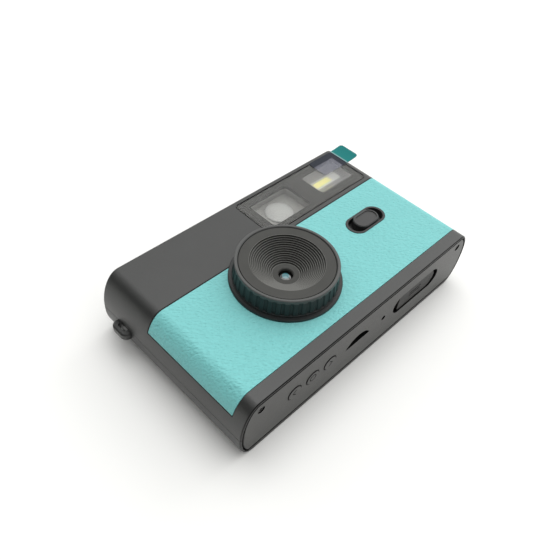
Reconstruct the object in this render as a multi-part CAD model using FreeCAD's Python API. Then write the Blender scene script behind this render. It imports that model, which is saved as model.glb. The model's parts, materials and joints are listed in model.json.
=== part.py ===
"""Compact viewfinder camera lying on its back, lens up.

X runs along the body's length, Y from the bottom face to the top face, and Z from the flat
back, at zero, out of the lens. The origin is the middle of the back. All sizes are millimetres.
"""

import FreeCAD, Part
import math
import os

V = FreeCAD.Vector

# Body

body_width = 115.6
body_height = 67.0
body_depth = 25.8
wall = 2.0
front_corner_across = 7.0
back_corner_across = 5.7
back_corner_deep = 11.2
end_flat = 1.2
seam_lift = 0.8
rim_round = 0.5
seam = 0.2
tongue_thickness = 0.8
tongue_rise = 2.0
fit = 0.1
running = 0.15
seat_gap = 0.05
flange_gap = 0.2
overlap = 0.2
past = 1.0
least_corner = 0.1
small_corner = 0.3
soft_corner = 1.5

half_width = body_width / 2
top_edge = body_height / 2
bottom_edge = -top_edge
front_inside = body_depth - wall
front_corner_deep = body_depth - back_corner_deep - end_flat
end_seam_height = back_corner_deep + seam_lift

# Top and bottom plates, each let into the rims of the two shells

plate_thickness = 1.6
plate_rim = 0.8
plate_seam = 0.55
plate_edge_chamfer = 0.15
bottom_inside = bottom_edge + plate_thickness
top_inside = top_edge - plate_thickness

# Leatherette band

leather_thickness = 0.5
leather_bottom_margin = 4.75
leather_top_margin = 1.6
leather_wrap_depth = 6.9
leather_gap = 0.2
glue_gap = 0.03

# Loop for a wrist cord, moulded on the back cover's end under the shutter finger

lug_reach = 2.7
lug_width = 8.0
lug_thickness = 2.8
lug_below_seam = 0.4
lug_from_top = 11.0
lug_hole_width = 4.0
lug_hole_depth = 1.7
lug_hole_sink = 0.5
lug_corner = 2.3
lug_hole_corner = 0.7
lug_edge = 0.45
lug_y = top_edge - lug_from_top
lug_high = end_seam_height - seam / 2 - lug_below_seam
lug_low = lug_high - lug_thickness

# Lens

lens_x = -0.214 * half_width
lens_y = -0.153 * top_edge
flange_radius = 18.9
flange_thickness = 1.0
neck_radius = 17.4
lens_reach = 7.95
barrel_foot_radius = 17.7
barrel_rim_radius = 17.2
barrel_collar = 0.7
barrel_lip_height = 1.3
lip_width = 1.15
ring_edge = 0.25
rib_count = 40
rib_depth = 0.3
rib_crest_share = 0.5
rib_flank_share = 0.12
baffle_groove = 0.25
baffle_sink = 0.3
baffle_wall = 1.2
baffle_shoulder = 1.0
cone_mouth_radius = 12.35
cone_floor_radius = 4.54
cone_depth = 5.9
cone_step_count = 13
cone_groove = 0.22
aperture_radius = 2.46
aperture_lead = 0.3
spigot_height = 3.0
spigot_wall = 1.5
lens_rim_height = body_depth + lens_reach
flange_top = body_depth + flange_thickness
baffle_face = lens_rim_height - baffle_sink
cone_floor = baffle_face - cone_depth
cone_back = cone_floor - baffle_wall
ring_bore = barrel_rim_radius - lip_width - baffle_groove - baffle_shoulder

# Optics behind the lens

glass_radius = 3.4
glass_edge = 1.5
glass_curve = 6.0
glass_room = 2.2
rear_glass_radius = 2.6
rear_glass_thickness = 1.8
tube_radius = 6.0
tube_clear_radius = 2.2
tube_lift = 3.0
tube_shelf = 1.0
holder_base = 15.4
holder_base_height = 2.6
holder_height = 9.0
holder_wall = 1.6
sensor_size = 8.4
sensor_height = 1.4
sensor_room = 1.0
glass_back = cone_back - glass_room

# Window panel over the viewfinder and the flash

panel_width = 0.4542 * body_width
panel_height = 0.2925 * body_height
panel_top_margin = 1.8
panel_corner = 1.8
panel_thickness = 0.5
mask_thickness = 0.1
panel_sink = 0.05
film_thickness = 0.06
film_margin = 0.5
window_corner = 1.6
finder_width = 0.3733 * panel_width
finder_frame = 5.6
finder_height = panel_height - finder_frame
finder_margin = 4.5
finder_lift = 0.15
flash_width = 0.3486 * panel_width
flash_frame = 8.1
flash_height = panel_height - flash_frame
flash_margin = 2.55
flash_lift = 0.3
window_ledge = 0.4
panel_x = half_width - front_corner_across - panel_width / 2
panel_y = top_edge - panel_top_margin - panel_height / 2
panel_low_y = panel_y - panel_height / 2
finder_x = panel_x - panel_width / 2 + finder_margin + finder_width / 2
finder_y = panel_y + finder_lift
flash_x = panel_x + panel_width / 2 - flash_margin - flash_width / 2
flash_y = panel_y + flash_lift
panel_top = body_depth - panel_sink
panel_back = panel_top - panel_thickness
mask_back = panel_back - glue_gap - mask_thickness
pocket_floor = mask_back - glue_gap
film_top = panel_top + glue_gap + film_thickness
leather_low = bottom_edge + leather_bottom_margin
leather_high = panel_low_y - leather_top_margin

# Pull tab of the protective film, with its tinted tail under the film's end

tab_width = 9.3
tab_from_top = 6.2
tab_from_end = 6.1
tab_length = 6.8
tab_thickness = 0.15
tab_bend_radius = 35.0
tab_corner = 1.3
tail_length = 13.2
tail_corner = 1.2
tail_thickness = 0.06
tab_root_x = half_width - tab_from_end
tab_y = top_edge - tab_from_top
tab_low = film_top + glue_gap

# Viewfinder

finder_well_depth = 4.6
objective_radius = 5.6
objective_thickness = 2.4
objective_curve = 12.0
objective_ledge = 0.6
objective_seat = 0.6
tunnel_wall = 1.2
tunnel_rim = 0.8
tunnel_rim_height = 1.0
eyepiece_width = 11.0
eyepiece_height = 8.4
eyepiece_thickness = 1.8
eyepiece_ledge = 0.6
eyepiece_bevel = 1.6
eyepiece_bevel_depth = 1.2
eyepiece_corner = 1.5
eyepiece_curve = 17.6

# Flash

diffuser_line_pitch = 0.9
diffuser_line_depth = 0.2
diffuser_line_share = 0.8
flash_strip_length = 13.4
flash_strip_width = 4.0
flash_strip_height = 0.5
strip_room = 0.3
led_length = 8.0
led_width = 2.6
led_shift = 2.3
led_height = 0.5
led_depth = 3.2
flash_board_thickness = 1.0
reflector_wall = 0.9
led_top = body_depth - led_depth

# Main board and what is soldered to it

board_thickness = 1.2
board_depth = 12.8
board_end_room = 11.8
board_bottom_room = 3.9
board_panel_gap = 0.1
board_tower_width = 22.5
board_tower_drop = 7.0
board_corner = 1.5
post_radius = 2.2
post_end_inset = 3.0
post_bottom_inset = 4.6
post_top_inset = 4.5
pilot_radius = 0.75
screw_shank_radius = 0.7
screw_head_radius = 1.35
screw_head_height = 1.1
drive_reach = 1.5
drive_slot = 0.35
drive_depth = 0.45
board_screw_length = 5.0
board_front = body_depth - board_depth
board_back = board_front - board_thickness
board_half_width = half_width - board_end_room
board_low = bottom_edge + board_bottom_room
board_high = panel_low_y - board_panel_gap
board_tower_x = board_tower_width - board_half_width
board_tower_high = top_edge - board_tower_drop
post_x = board_half_width - post_end_inset
post_low_y = board_low + post_bottom_inset
post_high_y = board_high - post_top_inset
tube_back = board_front + tube_lift
chip_size = 13.0
chip_height = 1.1
chip_lift = 2.8
chip_from_switch = 15.2
coil_size = 5.0
coil_height = 2.4
coil_corner = 0.8
coil_port_gap = 1.4
coil_inset = 8.6

# Screws of the top and bottom plates

bottom_screw_inset = 7.6
top_screw_inset = 5.8
plate_screw_depth = 4.6
plate_screw_head_radius = 1.2
plate_screw_head_height = 0.8
plate_screw_sink = 0.3
plate_screw_length = 6.5
boss_radius = 2.0
boss_length = 9.0
bottom_screw_x = half_width - bottom_screw_inset
top_screw_x = half_width - top_screw_inset
plate_screw_z = body_depth - plate_screw_depth

# Sliding switch in the front

switch_from_end = 27.1
switch_lift = 0.9
bezel_length = 18.1
bezel_width = 8.6
bezel_lip = 0.45
bezel_proud = 0.25
bezel_edge = 0.1
slot_length = 16.1
slot_width = 6.9
knob_length = 11.1
knob_proud = 1.1
knob_rim = 0.8
knob_dish = 0.3
knob_edge = 0.3
knob_flange_length = 15.4
knob_flange_width = 8.8
knob_flange_height = 1.0
knob_stem = 3.2
knob_stem_gap = 1.0
switch_body_length = 10.0
switch_body_width = 4.6
switch_body_height = 4.4
lever_size = 1.6
lever_rise = 3.0
lever_sink = 1.0
lever_room = 0.3
knob_width = slot_width - 2 * running
switch_travel = (slot_length - knob_length) / 2 - running
switch_x = half_width - switch_from_end
switch_y = lens_y + switch_lift
chip_x = switch_x - chip_from_switch
chip_y = (board_low + board_high) / 2 + chip_lift
coil_y = board_low + coil_inset

# Shutter button in the top plate

shutter_from_end = 20.3
shutter_radius = 5.2
shutter_proud = 1.6
shutter_flange = 1.0
shutter_flange_height = 0.9
shutter_stem_radius = 2.0
shutter_travel = 1.0
shutter_dish_radius = 16.0
shutter_dish = 0.35
shutter_edge = 0.5
shutter_x = shutter_from_end - half_width

# Three push keys in the bottom plate

key_radius = 2.7
key_gap = 0.3
key_space = 1.4
key_proud = 0.2
key_flange = 0.65
key_flange_height = 0.6
key_stem_radius = 1.2
key_stem_length = 0.7
key_travel = 0.35
key_edge = 0.2
key_middle_x = -0.478 * half_width
key_pitch = 2 * (key_radius + key_flange) + key_space

# Small push switches behind the shutter button and the keys

push_switch_width = 6.2
push_switch_height = 3.6
push_switch_depth = 3.4
switch_overhang = 0.3
plunger_radius = 0.8
plunger_length = 0.8
plunger_bore_depth = 0.95
shutter_plunger_radius = 1.0
shutter_plunger_length = 1.7

# Charging port with its rubber cover, in a pill-shaped recess

port_height = 3.2
port_width = 8.9
port_length = 7.3
port_shell = 0.3
port_setback = 0.15
mouth_gap = 0.25
port_tongue_width = 6.7
port_tongue_thickness = 0.7
port_tongue_setback = 0.9
recess_length = 26.3
recess_width = 8.6
recess_depth = 1.9
recess_wall = 1.0
cover_sink = 0.4
cover_thickness = 1.3
cover_side_gap = 0.35
cover_nail_gap = 3.4
cover_hinge_gap = 1.8
cover_corner = 1.5
cover_groove_length = 7.0
cover_groove_width = 0.5
cover_groove_pitch = 1.3
cover_groove_depth = 0.35
plug_depth = 0.8
plug_gap = 0.5
anchor_thickness = 0.4
hinge_bead_radius = 0.4
hinge_bead_length = 3.0
recess_x = 0.464 * half_width
coil_x = recess_x - port_width / 2 - coil_port_gap - coil_size / 2
row_height = board_front + port_height / 2

# Memory card slot with a finger scoop

card_x = -0.096 * half_width
card_slot_length = 11.4
card_slot_width = 1.2
card_slot_drop = 1.2
scoop_length = 12.2
scoop_rise = 3.7
scoop_depth = 1.2
socket_width = 14.0
socket_length = 14.5
socket_height = 1.9
socket_floor = 0.45
socket_roof = 0.25
socket_side = 1.2
card_slot_low = row_height - card_slot_drop

# Microphone behind a pinhole

microphone_x = 0.138 * half_width
pinhole_radius = 1.0
microphone_radius = 1.5
microphone_length = 2.0

# Battery on its foam pad

battery_from_end = 13.3
battery_from_bottom = 6.5
battery_length = 48.0
battery_side_room = 33.0
battery_width = body_height - battery_side_room
battery_room = 2.2
battery_edge = 1.2
battery_corner = 2.0
pad_thickness = 0.5
pad_length = 40.0
pad_width = 12.0
lead_radius = 0.6
lead_spacing = 1.7
lead_bend = 2.0
lead_reach = 3.0
battery_x = battery_from_end + battery_length / 2 - half_width
battery_y = bottom_edge + battery_from_bottom + battery_width / 2
battery_thickness = board_back - screw_head_height - battery_room - wall - pad_thickness

# Frame counter and status light in the back

counter_from_end = 31.3
counter_lift = 0.5
counter_width = 17.0
counter_height = 10.0
counter_ledge = 1.4
counter_window_thickness = 1.0
counter_window_sink = 0.2
counter_corner = 1.2
display_thickness = 1.9
display_margin = 2.5
light_radius = 1.0
light_sink = 0.15
light_head = 0.5
light_collar = 0.7
light_length = 2.6
counter_x = half_width - counter_from_end
counter_y = switch_y + counter_lift
light_x = counter_x
light_y = finder_y

ribbon_width = 5.0
ribbon_shift = 3.0
ribbon_thickness = 0.2
ribbon_foot = 2.5
ribbon_setback = 1.2


def at(plane, u, v, level):
    """Point of a flat drawing: plane "front" is drawn in XY, plane "edge" in XZ."""
    if plane == "front":
        return V(u, v, level)
    return V(u, level, v)


def block(x, y, z):
    return Part.makeBox(x[1] - x[0], y[1] - y[0], z[1] - z[0], V(x[0], y[0], z[0]))


def spread(centre, size):
    return (centre - size / 2, centre + size / 2)


def rod(radius, start, end):
    path = end - start
    return Part.makeCylinder(radius, path.Length, start, path)


def joined(shapes):
    first = shapes[0]
    return first.fuse(shapes[1:]).removeSplitter()


def rounded_outline(plane, centre, size, corner, level):
    """Closed rectangle with round corners; a corner of half the width makes a pill."""
    u, v = centre
    a = size[0] / 2
    b = size[1] / 2
    r = max(min(corner, a, b), least_corner)
    slant = r * (1 - math.sqrt(0.5))
    edges = []
    turns = [(1, 1), (-1, 1), (-1, -1), (1, -1)]
    starts = []
    for side, lift in turns:
        beside = at(plane, u + side * a, v + lift * (b - r), level)
        middle = at(plane, u + side * (a - slant), v + lift * (b - slant), level)
        above = at(plane, u + side * (a - r), v + lift * b, level)
        if side * lift > 0:
            starts.append((beside, middle, above))
        else:
            starts.append((above, middle, beside))
    for index, (start, middle, end) in enumerate(starts):
        edges.append(Part.Arc(start, middle, end).toShape())
        following = starts[(index + 1) % 4][0]
        if (following - end).Length > 1e-6:
            edges.append(Part.LineSegment(end, following).toShape())
    return Part.Wire(edges)


def slab(plane, centre, size, corner, low, high):
    """Straight prism on a rounded outline, from one level to another."""
    face = Part.Face(rounded_outline(plane, centre, size, corner, low))
    origin = at(plane, 0, 0, 0)
    return face.extrude(at(plane, 0, 0, high - low) - origin)


def funnel(plane, centre, first, second):
    """Ruled prism between two rounded outlines, each given as size, corner and level."""
    wires = []
    for size, corner, level in (first, second):
        wires.append(rounded_outline(plane, centre, size, corner, level))
    return Part.makeLoft(wires, True, True)


def ring_solid(points, centre):
    """Turns a closed outline of (radius, height) points about an upright axis."""
    corners = [V(centre[0] + r, centre[1], z) for r, z in points]
    outline = Part.makePolygon(corners + [corners[0]])
    face = Part.Face(outline)
    return face.revolve(V(centre[0], centre[1], 0), V(0, 0, 1), 360)


def body_outline(inset):
    """Section of the body across its length, drawn in XZ and drawn in by an inset."""
    half = half_width - inset
    low = inset
    high = body_depth - inset
    front = corner_size(front_corner_across, front_corner_deep, inset)
    back = corner_size(back_corner_across, back_corner_deep, inset)
    corners = []
    for side, lift, size in ((1, 1, front), (1, -1, back), (-1, -1, back), (-1, 1, front)):
        level = high if lift > 0 else low
        centre = V(side * (half - size[0]), 0, level - lift * size[1])
        flat = V(centre.x, 0, level)
        outer = V(side * half, 0, centre.z)
        ends = (flat, outer) if side * lift > 0 else (outer, flat)
        corners.append((corner_curve(centre, flat, outer), ends))
    edges = []
    for index, (curve, ends) in enumerate(corners):
        following = corners[(index + 1) % len(corners)][1][0]
        edges.append(curve)
        edges.append(Part.LineSegment(ends[1], following).toShape())
    return Part.Face(Part.Wire(edges))


def corner_size(across, deep, inset):
    return (max(across - inset, least_corner), max(deep - inset, least_corner))


def corner_curve(centre, flat, outer):
    """Quarter of an ellipse between two points, round a centre inside the body."""
    tall = (flat - centre).Length >= (outer - centre).Length
    major, minor = (flat, outer) if tall else (outer, flat)
    ellipse = Part.Ellipse(major, minor, centre)
    return Part.ArcOfEllipse(ellipse, 0, math.pi / 2).toShape()


def body_prism(inset, y):
    face = body_outline(inset)
    face.translate(V(0, y[0], 0))
    return face.extrude(V(0, y[1] - y[0], 0))


def outer_body():
    """The whole outside, with the rims round the bottom and top faces eased."""
    body = body_prism(0, (bottom_edge, top_edge))
    rims = []
    for edge in body.Edges:
        box = edge.BoundBox
        if box.YLength < 1e-6:
            rims.append(edge)
    return body.makeFillet(rim_round, rims)


def hollow():
    """Space inside the walls, open at the top and bottom faces for the plates."""
    inner = body_prism(wall, (bottom_edge - past, top_edge + past))
    across = (-body_width, body_width)
    above_back = (wall, body_depth)
    seats = []
    for y in ((bottom_edge - past, bottom_inside), (top_inside, top_edge + past)):
        seats.append(body_prism(plate_rim, y).common(block(across, y, above_back)))
    return inner.fuse(seats)


def leather_band(thickness, gap):
    """Skin round the front and both ends, drawn in by a gap at its edges."""
    y = (leather_low + gap, leather_high - gap)
    z = (body_depth - leather_wrap_depth + gap, body_depth + past)
    band = body_prism(0, y).cut(body_prism(thickness, y))
    return band.common(block((-body_width, body_width), y, z))


def lug():
    """Moulded loop for a wrist cord, with round corners, rooted in the end wall."""
    root = -half_width + wall
    tip = -half_width - lug_reach
    size = (2 * (root - tip), lug_width)
    loop = slab("front", (root, lug_y), size, lug_corner, lug_low, lug_high)
    faces = [e for e in loop.Edges if e.BoundBox.ZLength < 1e-6]
    loop = loop.makeChamfer(lug_edge, faces)
    return loop.common(block((tip - past, root), spread(lug_y, 2 * lug_width), (0, body_depth)))


def lug_hole():
    """Room for the cord, cut a little into the end wall behind the loop."""
    centre = (-half_width + lug_hole_sink - lug_hole_depth / 2, lug_y)
    size = (lug_hole_depth, lug_hole_width)
    return slab("front", centre, size, lug_hole_corner, lug_low - past, lug_high + lug_below_seam / 2)


def screw_x(end):
    """Distance of a plate's screws from the middle; end is -1 at the bottom, 1 at the top."""
    return top_screw_x if end > 0 else bottom_screw_x


def plate_boss(side, end):
    """Screw boss behind a plate, carried by the front wall."""
    x = side * screw_x(end)
    seat = end * top_inside
    inner = seat - end * boss_length
    boss = rod(boss_radius, V(x, seat, plate_screw_z), V(x, inner, plate_screw_z))
    y = (min(seat, inner), max(seat, inner))
    web = block(spread(x, boss_radius), y, (plate_screw_z, front_inside + wall / 2))
    return boss.fuse(web)


def plate_pilot(side, end):
    x = side * screw_x(end)
    seat = end * top_inside
    deep = seat - end * (plate_screw_length + past)
    start = seat + end * past
    return rod(pilot_radius, V(x, start, plate_screw_z), V(x, deep, plate_screw_z))


def post_places():
    return [(side * post_x, y) for side in (-1, 1) for y in (post_low_y, post_high_y)]


def board_post(place):
    x, y = place
    return rod(post_radius, V(x, y, board_front), V(x, y, front_inside + wall / 2))


def board_pilot(place):
    x, y = place
    return rod(pilot_radius, V(x, y, board_front - past), V(x, y, board_front + board_screw_length + past))


def panel_window(x, y, width, height, low, high, grow):
    size = (width + 2 * grow, height + 2 * grow)
    return slab("front", (x, y), size, window_corner + grow, low, high)


def front_shell():
    across = (-body_width, body_width)
    along = (-body_height, body_height)
    above_seam = block(across, along, (end_seam_height + seam / 2, body_depth + past))
    shell = outer_body().common(above_seam).cut(hollow())
    skin = leather_band(leather_thickness, 0)
    fittings = [board_post(place) for place in post_places()]
    cutters = [skin, switch_opening(), panel_pocket()]
    for side in (-1, 1):
        for end in (-1, 1):
            fittings.append(plate_boss(side, end))
            cutters.append(plate_pilot(side, end))
    cutters += [board_pilot(place) for place in post_places()]
    cutters.append(rod(neck_radius + fit, V(lens_x, lens_y, 0), V(lens_x, lens_y, body_depth + past)))
    low = front_inside - past
    grow = window_ledge + fit
    cutters.append(panel_window(finder_x, finder_y, finder_width, finder_height, low, body_depth, 0))
    cutters.append(panel_window(flash_x, flash_y, flash_width, flash_height, low, body_depth, grow))
    shell = shell.fuse([fitting.common(outer_body()) for fitting in fittings])
    return shell.cut(cutters)


def finder_and_flash():
    return [
        (finder_x, finder_y, finder_width, finder_height),
        (flash_x, flash_y, flash_width, flash_height),
    ]


def panel_pocket():
    size = (panel_width + 2 * fit, panel_height + 2 * fit)
    return slab("front", (panel_x, panel_y), size, panel_corner + fit, pocket_floor, body_depth + past)


def switch_opening():
    size = (bezel_length - 2 * bezel_lip + 2 * fit, bezel_width - 2 * bezel_lip + 2 * fit)
    return slab("front", (switch_x, switch_y), size, bezel_width, front_inside - past, body_depth + past)


def back_cover():
    across = (-body_width, body_width)
    along = (-body_height, body_height)
    below_seam = block(across, along, (-past, end_seam_height - seam / 2))
    cover = outer_body().common(below_seam).cut(hollow())
    loop = lug().cut(body_prism(wall / 2, along))
    cover = joined([cover, loop] + back_tongues())
    return cover.cut([lug_hole(), eyepiece_opening(), counter_opening(), light_hole()])


def back_tongues():
    """Lips on the two end walls that stand inside the front shell."""
    y = (bottom_inside + past, top_inside - past)
    foot_z = (end_seam_height - tongue_rise - seam, end_seam_height - seam / 2)
    rise_z = (end_seam_height - seam / 2, end_seam_height + tongue_rise)
    across = (-body_width, body_width)
    inner = body_prism(wall + fit + tongue_thickness, y)
    foot = body_prism(wall / 2, y).cut(inner).common(block(across, y, foot_z))
    rise = body_prism(wall + fit, y).cut(inner).common(block(across, y, rise_z))
    return [foot, rise]


def eyepiece_opening():
    centre = (finder_x, finder_y)
    narrow = (eyepiece_width - 2 * eyepiece_ledge, eyepiece_height - 2 * eyepiece_ledge)
    wide = (narrow[0] + 2 * eyepiece_bevel, narrow[1] + 2 * eyepiece_bevel)
    bevel_floor = (narrow, eyepiece_corner, eyepiece_bevel_depth)
    bevel_mouth = (wide, eyepiece_corner + eyepiece_bevel, 0)
    bevel = funnel("front", centre, bevel_floor, bevel_mouth)
    through = slab("front", centre, narrow, eyepiece_corner, eyepiece_bevel_depth / 2, wall + past)
    return bevel.fuse(through)


def counter_opening():
    centre = (counter_x, counter_y)
    view = (counter_width, counter_height)
    ledge = (counter_width + 2 * counter_ledge, counter_height + 2 * counter_ledge)
    floor = counter_window_sink + counter_window_thickness
    through = slab("front", centre, view, counter_corner, -past, wall + past)
    pocket = slab("front", centre, ledge, counter_corner, -past, floor)
    return through.fuse(pocket)


def light_hole():
    return rod(light_radius + fit, V(light_x, light_y, -past), V(light_x, light_y, wall + past))


def plate(end):
    """Blank of the bottom or the top plate, flush with the shells' rims."""
    outside = end * top_edge
    inside = end * (top_edge - plate_thickness)
    y = (min(outside, inside), max(outside, inside))
    blank = body_prism(plate_rim + plate_seam, y)
    blank = blank.common(block((-body_width, body_width), y, (wall + plate_seam, body_depth)))
    rim = []
    for edge in blank.Edges:
        box = edge.BoundBox
        if box.YLength < 1e-6 and abs(box.YMin - outside) < 1e-6:
            rim.append(edge)
    return blank.makeChamfer(plate_edge_chamfer, rim)


def plate_screw_holes(end):
    """Countersunk pockets and clearance holes for a plate's two screws."""
    outside = end * top_edge
    pocket = plate_screw_sink + plate_screw_head_height
    holes = []
    for side in (-1, 1):
        x = side * screw_x(end)
        outer = V(x, outside + end * past, plate_screw_z)
        seat = V(x, outside - end * pocket, plate_screw_z)
        inner = V(x, outside - end * (plate_thickness + past), plate_screw_z)
        holes.append(rod(plate_screw_head_radius + running, outer, seat))
        holes.append(rod(screw_shank_radius + fit, outer, inner))
    return holes


def key_places():
    return [key_middle_x + step * key_pitch for step in (-1, 0, 1)]


def bottom_plate():
    floor = bottom_edge + recess_depth
    tub_size = (recess_length + 2 * recess_wall, recess_width + 2 * recess_wall)
    recess_centre = (recess_x, row_height)
    tub_low = bottom_inside - plate_thickness / 2
    tub = slab("edge", recess_centre, tub_size, tub_size[1], tub_low, floor + recess_wall)
    holes = plate_screw_holes(-1)
    for x in key_places():
        start = V(x, bottom_edge - past, row_height)
        holes.append(rod(key_radius + key_gap, start, V(x, bottom_inside + past, row_height)))
    recess_size = (recess_length, recess_width)
    mouth = (port_width + 2 * mouth_gap, port_height + 2 * mouth_gap)
    holes.append(slab("edge", recess_centre, recess_size, recess_width, bottom_edge - past, floor))
    mouth_high = floor + recess_wall + past
    holes.append(slab("edge", recess_centre, mouth, mouth[1], floor - past, mouth_high))
    holes.append(card_opening())
    pin_start = V(microphone_x, bottom_edge - past, row_height)
    holes.append(rod(pinhole_radius, pin_start, V(microphone_x, bottom_inside + past, row_height)))
    return plate(-1).fuse(tub).cut(holes)


def card_opening():
    """Slot for the card, at the straight side of a bow-shaped scoop for a fingertip."""
    slot_size = (card_slot_length, card_slot_width)
    slot_place = (card_x, card_slot_low + card_slot_width / 2)
    slot_y = (bottom_edge - past, bottom_inside + past)
    slot = slab("edge", slot_place, slot_size, small_corner, slot_y[0], slot_y[1])
    half = scoop_length / 2
    radius = (half * half + scoop_rise * scoop_rise) / (2 * scoop_rise)
    centre_z = card_slot_low + scoop_rise - radius
    depth = (bottom_edge - past, bottom_edge + scoop_depth)
    scoop = rod(radius, V(card_x, depth[0], centre_z), V(card_x, depth[1], centre_z))
    kept_z = (card_slot_low, card_slot_low + scoop_rise + past)
    kept = block(spread(card_x, scoop_length), depth, kept_z)
    return slot.fuse(scoop.common(kept))


def top_plate():
    start = V(shutter_x, top_edge + past, row_height)
    end = V(shutter_x, top_inside - past, row_height)
    return plate(1).cut(plate_screw_holes(1) + [rod(shutter_radius + running, start, end)])


def plate_screws(end):
    outside = end * top_edge
    screws = []
    for side in (-1, 1):
        x = side * screw_x(end)
        head_top = V(x, outside - end * plate_screw_sink, plate_screw_z)
        head_seat = V(x, head_top.y - end * plate_screw_head_height, plate_screw_z)
        tip = V(x, head_seat.y - end * plate_screw_length, plate_screw_z)
        head = rod(plate_screw_head_radius, head_top, head_seat)
        shank = rod(screw_shank_radius, head_seat + V(0, end * overlap, 0), tip)
        screws.append(head.fuse(shank).cut(cross_drive(head_top, V(0, -end, 0))))
    return Part.makeCompound(screws)


def cross_drive(top, inward):
    """Cross-shaped driver recess cut into a screw head."""
    arm = drive_reach
    up = V(0, 0, 1) if abs(inward.z) < 0.5 else V(0, 1, 0)
    side = up.cross(inward)
    blades = []
    for long_way, short_way in ((up, side), (side, up)):
        corner = top - long_way * (arm / 2) - short_way * (drive_slot / 2) - inward * seat_gap
        wire = Part.makePolygon([
            corner,
            corner + long_way * arm,
            corner + long_way * arm + short_way * drive_slot,
            corner + short_way * drive_slot,
            corner,
        ])
        blades.append(Part.Face(wire).extrude(inward * (drive_depth + seat_gap)))
    return blades[0].fuse(blades[1])


def leatherette():
    band = leather_band(leather_thickness - glue_gap, leather_gap)
    lens_hole = rod(neck_radius + fit, V(lens_x, lens_y, 0), V(lens_x, lens_y, body_depth + past))
    return band.cut([lens_hole, switch_opening()])


def lens_base():
    """Flange on the front with a neck in the shell and a spigot that centres the ring."""
    spigot_radius = ring_bore - fit
    bore = spigot_radius - spigot_wall
    outline = [
        (bore, front_inside),
        (neck_radius, front_inside),
        (neck_radius, body_depth),
        (flange_radius, body_depth),
        (flange_radius, flange_top - ring_edge),
        (flange_radius - ring_edge, flange_top),
        (spigot_radius, flange_top),
        (spigot_radius, flange_top + spigot_height),
        (bore, flange_top + spigot_height),
    ]
    return ring_solid(outline, (lens_x, lens_y))


def ribbed_outline(radius, height):
    """Closed outline of straight ribs round a circle."""
    pitch = 2 * math.pi / rib_count
    crest = pitch * rib_crest_share / 2
    flank = pitch * rib_flank_share
    corners = []
    for index in range(rib_count):
        middle = index * pitch
        for angle, r in (
            (middle - crest, radius),
            (middle + crest, radius),
            (middle + crest + flank, radius - rib_depth),
            (middle + pitch - crest - flank, radius - rib_depth),
        ):
            corners.append(V(lens_x + r * math.cos(angle), lens_y + r * math.sin(angle), height))
    return Part.makePolygon(corners + [corners[0]])


def lens_ring():
    """Ribbed barrel with a round lip and a shoulder that carries the baffle."""
    foot = flange_top
    rim = lens_rim_height
    collar_top = foot + barrel_collar
    lip_bottom = rim - barrel_lip_height
    lip_inner = barrel_rim_radius - lip_width
    shoulder = baffle_face - baffle_wall
    root_radius = barrel_rim_radius - rib_depth - seat_gap
    outline = [
        (ring_bore, foot),
        (barrel_foot_radius, foot),
        (barrel_foot_radius, collar_top - ring_edge),
        (barrel_foot_radius - ring_edge, collar_top),
        (root_radius, collar_top),
        (root_radius, lip_bottom),
        (barrel_rim_radius - ring_edge, lip_bottom),
        (barrel_rim_radius, lip_bottom + ring_edge),
        (barrel_rim_radius, rim - ring_edge),
        (barrel_rim_radius - ring_edge, rim),
        (lip_inner + ring_edge, rim),
        (lip_inner, rim - ring_edge),
        (lip_inner, shoulder),
        (ring_bore, shoulder),
    ]
    body = ring_solid(outline, (lens_x, lens_y))
    crest = 2 * seat_gap
    ribs = Part.makeLoft(
        [
            ribbed_outline(barrel_foot_radius - crest, collar_top - flange_gap),
            ribbed_outline(barrel_rim_radius - crest, lip_bottom + flange_gap),
        ],
        True,
        True,
    )
    core = lip_inner + running
    ribs = ribs.cut(rod(core, V(lens_x, lens_y, foot - past), V(lens_x, lens_y, rim)))
    return body.fuse(ribs)


def cone_baffle():
    """Face disc with a stepped cone down to the aperture."""
    face_radius = barrel_rim_radius - lip_width - baffle_groove
    fall = cone_depth / cone_step_count
    tread = (cone_mouth_radius - cone_floor_radius) / cone_step_count
    under = baffle_wall
    outline = [
        (face_radius, baffle_face - baffle_wall),
        (face_radius, baffle_face - seat_gap),
        (face_radius - seat_gap, baffle_face),
        (cone_mouth_radius, baffle_face),
    ]
    for step in range(cone_step_count):
        radius = cone_mouth_radius - step * tread
        height = baffle_face - (step + 1) * fall
        outline.append((radius, height - cone_groove))
        outline.append((radius - tread, height))
    outline += [
        (aperture_radius + aperture_lead, cone_floor),
        (aperture_radius, cone_floor - aperture_lead),
        (aperture_radius, cone_back),
        (cone_floor_radius + under, cone_back),
        (cone_floor_radius + under, cone_floor),
        (cone_mouth_radius + under, baffle_face - baffle_wall),
    ]
    return ring_solid(outline, (lens_x, lens_y))


def front_glass():
    """Domed front element: a short cylinder capped by a sphere."""
    dome_top = glass_back + glass_edge
    dome_top += glass_curve - math.sqrt(glass_curve ** 2 - glass_radius ** 2)
    blank = rod(glass_radius, V(lens_x, lens_y, glass_back), V(lens_x, lens_y, dome_top))
    ball = Part.makeSphere(glass_curve, V(lens_x, lens_y, dome_top - glass_curve))
    return blank.common(ball)


def rear_glass():
    low = tube_back + tube_shelf
    return rod(rear_glass_radius, V(lens_x, lens_y, low), V(lens_x, lens_y, low + rear_glass_thickness))


def lens_tube():
    """Barrel that holds the two glass elements and screws into the holder."""
    top = cone_back - running
    rear_seat = tube_back + tube_shelf + rear_glass_thickness
    outline = [
        (rear_glass_radius + fit, tube_back),
        (tube_radius, tube_back),
        (tube_radius, top),
        (glass_radius + fit, top),
        (glass_radius + fit, glass_back),
        (tube_clear_radius, glass_back),
        (tube_clear_radius, rear_seat),
        (rear_glass_radius + fit, rear_seat),
    ]
    return ring_solid(outline, (lens_x, lens_y))


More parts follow.
